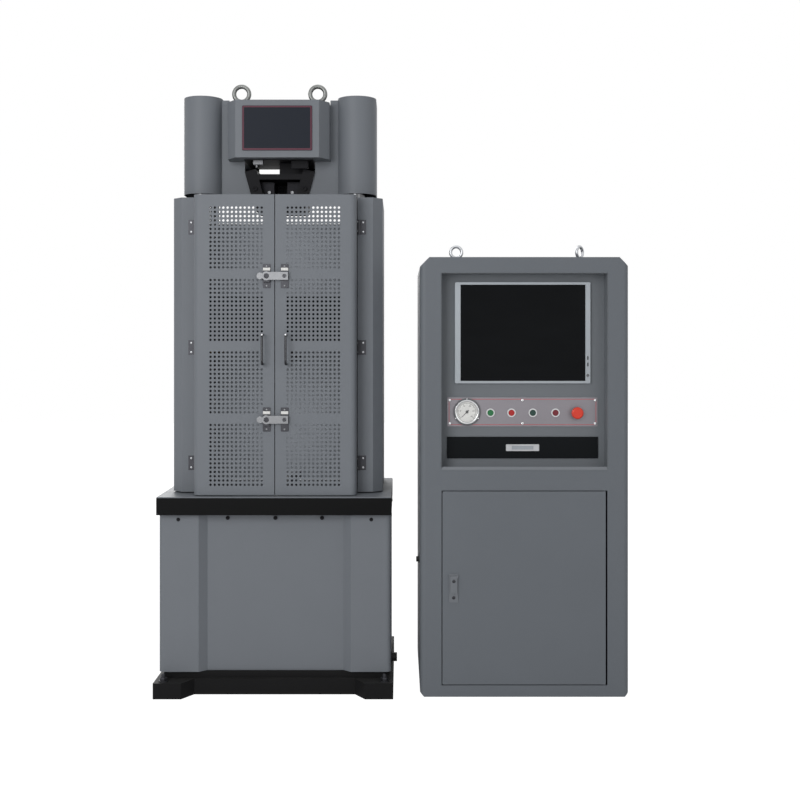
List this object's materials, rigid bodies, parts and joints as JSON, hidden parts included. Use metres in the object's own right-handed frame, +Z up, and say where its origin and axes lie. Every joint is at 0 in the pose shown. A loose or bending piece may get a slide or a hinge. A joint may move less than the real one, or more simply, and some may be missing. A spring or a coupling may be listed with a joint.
{
  "type": "universal testing machine",
  "caption": "Hydraulic universal testing machine: a guarded column load frame with wedge grips and platens, beside a control cabinet with monitor, gauge, push buttons, drawer and door.",
  "frame": {"origin": "on the floor under the load axis, at the centre of the base plate's underside", "axes": "+Z up along the load axis, +X to the right towards the cabinet, the guard doors and controls face -Y"},
  "size_m": [1.6885, 0.66, 2.224],
  "materials": {
    "grey_paint": "satin powder coat",
    "black_paint": "satin powder coat",
    "cast_paint": "painted casting",
    "ground_steel": "ground",
    "blackened_steel": "black oxide",
    "plated_steel": "zinc plated",
    "chrome": "polished",
    "bronze": "machined",
    "monitor_silver": "silver grey",
    "screen_black": "dark glass",
    "strip_aluminium": "satin",
    "gauge_metal": "polished",
    "needle_black": "matt",
    "green_cap": "moulded",
    "red_cap": "moulded",
    "dark_green_cap": "moulded",
    "dark_red_cap": "moulded",
    "red_mushroom": "moulded",
    "black_plastic": "moulded"
  },
  "bodies": {
    "base": {"base_plate": "black_paint", "front_cover": "grey_paint", "rear_cover": "grey_paint", "main_cylinder": "cast_paint", "screw_drives": "black_paint", "cable_sockets": "black_plastic", "cabinet_shell": "grey_paint", "cabinet_back_panel": "grey_paint", "cabinet_eyes": "plated_steel", "instrument_panel": "grey_paint", "monitor": "monitor_silver", "monitor_screen": "screen_black", "control_strip": "strip_aluminium", "button_rings": "chrome", "pressure_gauge": "gauge_metal", "drawer_runners": "ground_steel", "hydraulic_unit": "black_paint"},
    "lifting_frame": {"piston": "ground_steel", "table": "black_paint", "table_sheet": "grey_paint", "columns": "ground_steel", "upper_crosshead": "grey_paint", "column_shrouds": "grey_paint", "lifting_eyes": "plated_steel", "upper_grip": "black_paint", "lower_platen": "ground_steel", "guard_side_panels": "grey_paint", "guard_rear_panel": "grey_paint", "guard_hinges": "plated_steel"},
    "moving_crosshead": {"middle_crosshead": "cast_paint", "screw_nuts": "bronze", "upper_platen": "ground_steel"},
    "left_screw": {"lead_screw_left": "ground_steel"},
    "right_screw": {"lead_screw_right": "ground_steel"},
    "upper_left_jaw": {"upper_jaw_left": "blackened_steel"},
    "upper_right_jaw": {"upper_jaw_right": "blackened_steel"},
    "lower_left_jaw": {"lower_jaw_left": "blackened_steel"},
    "lower_right_jaw": {"lower_jaw_right": "blackened_steel"},
    "left_door": {"guard_door_left": "grey_paint", "left_door_hinges": "plated_steel", "left_door_handle": "chrome", "latch_keepers": "plated_steel"},
    "right_door": {"guard_door_right": "grey_paint", "right_door_hinges": "plated_steel", "right_door_handle": "chrome", "latch_bases": "plated_steel"},
    "upper_latch": {"upper_latch_bar": "plated_steel"},
    "lower_latch": {"lower_latch_bar": "plated_steel"},
    "needle": {"gauge_needle": "needle_black"},
    "start_cap": {"start_button": "green_cap"},
    "stop_cap": {"stop_button": "red_cap"},
    "raise_cap": {"raise_button": "dark_green_cap"},
    "lower_cap": {"lower_button": "dark_red_cap"},
    "emergency_cap": {"emergency_button": "red_mushroom"},
    "drawer": {"keyboard_drawer": "black_paint", "drawer_handle": "chrome", "keyboard": "black_plastic"},
    "hatch": {"cabinet_door": "grey_paint", "door_lock": "plated_steel"},
    "lever": {"lock_lever": "plated_steel"}
  },
  "joints": [
    {"name": "table_lift", "type": "slide", "parent": "base", "child": "lifting_frame", "axis": [0, 0, 1], "range_m": [0, 0.2]},
    {"name": "crosshead_slide", "type": "slide", "parent": "base", "child": "moving_crosshead", "axis": [0, 0, 1], "range_m": [-0.2, 0.2]},
    {"name": "left_screw_turn", "type": "hinge", "parent": "base", "child": "left_screw", "pos_m": [-0.288, 0, 0.3], "axis": [0, 0, 1], "range_deg": [-6001, 6001]},
    {"name": "right_screw_turn", "type": "hinge", "parent": "base", "child": "right_screw", "pos_m": [0.288, 0, 0.3], "axis": [0, 0, 1], "range_deg": [-6001, 6001]},
    {"name": "upper_left_jaw_slide", "type": "slide", "parent": "lifting_frame", "child": "upper_left_jaw", "axis": [0.2588, 0, -0.9659], "range_m": [0, 0.06]},
    {"name": "upper_right_jaw_slide", "type": "slide", "parent": "lifting_frame", "child": "upper_right_jaw", "axis": [-0.2588, 0, -0.9659], "range_m": [0, 0.06]},
    {"name": "lower_left_jaw_slide", "type": "slide", "parent": "moving_crosshead", "child": "lower_left_jaw", "axis": [0.2588, 0, 0.9659], "range_m": [0, 0.05]},
    {"name": "lower_right_jaw_slide", "type": "slide", "parent": "moving_crosshead", "child": "lower_right_jaw", "axis": [-0.2588, 0, 0.9659], "range_m": [0, 0.05]},
    {"name": "right_door_swing", "type": "hinge", "parent": "lifting_frame", "child": "right_door", "pos_m": [0.298, -0.191, 1.25], "axis": [0, 0, 1], "range_deg": [0, 90]},
    {"name": "left_door_swing", "type": "hinge", "parent": "lifting_frame", "child": "left_door", "pos_m": [-0.298, -0.191, 1.25], "axis": [0, 0, -1], "range_deg": [0, 90]},
    {"name": "upper_latch_flip", "type": "hinge", "parent": "right_door", "child": "upper_latch", "pos_m": [0.036, -0.283, 1.499], "axis": [0, 1, 0], "range_deg": [0, 90]},
    {"name": "lower_latch_flip", "type": "hinge", "parent": "right_door", "child": "lower_latch", "pos_m": [0.036, -0.283, 0.985], "axis": [0, 1, 0], "range_deg": [0, 90]},
    {"name": "needle_turn", "type": "hinge", "parent": "base", "child": "needle", "pos_m": [0.691, -0.238, 1.01], "axis": [0, 1, 0], "range_deg": [0, 270]},
    {"name": "start_press", "type": "slide", "parent": "base", "child": "start_cap", "axis": [0, 1, 0], "range_m": [0, 0.004], "stiffness_N_per_m": 600},
    {"name": "stop_press", "type": "slide", "parent": "base", "child": "stop_cap", "axis": [0, 1, 0], "range_m": [0, 0.004], "stiffness_N_per_m": 600},
    {"name": "raise_press", "type": "slide", "parent": "base", "child": "raise_cap", "axis": [0, 1, 0], "range_m": [0, 0.004], "stiffness_N_per_m": 600},
    {"name": "lower_press", "type": "slide", "parent": "base", "child": "lower_cap", "axis": [0, 1, 0], "range_m": [0, 0.004], "stiffness_N_per_m": 600},
    {"name": "emergency_press", "type": "slide", "parent": "base", "child": "emergency_cap", "axis": [0, 1, 0], "range_m": [0, 0.005], "stiffness_N_per_m": 600},
    {"name": "drawer_slide", "type": "slide", "parent": "base", "child": "drawer", "axis": [0, -1, 0], "range_m": [0, 0.28]},
    {"name": "hatch_swing", "type": "hinge", "parent": "base", "child": "hatch", "pos_m": [1.176, -0.292, 0.39], "axis": [0, 0, 1], "range_deg": [0, 95]},
    {"name": "lever_swing", "type": "hinge", "parent": "hatch", "child": "lever", "pos_m": [0.64, -0.3073, 0.4275], "axis": [-1, 0, 0], "range_deg": [0, 75]}
  ],
  "couplings": [
    {"joint": "left_screw_turn", "follows": "crosshead_slide", "rad_per_m": 523.6},
    {"joint": "right_screw_turn", "follows": "crosshead_slide", "rad_per_m": 523.6},
    {"joint": "upper_right_jaw_slide", "follows": "upper_left_jaw_slide", "ratio": 1},
    {"joint": "lower_right_jaw_slide", "follows": "lower_left_jaw_slide", "ratio": 1},
    {"joint": "left_door_swing", "follows": "right_door_swing", "ratio": 1}
  ]
}
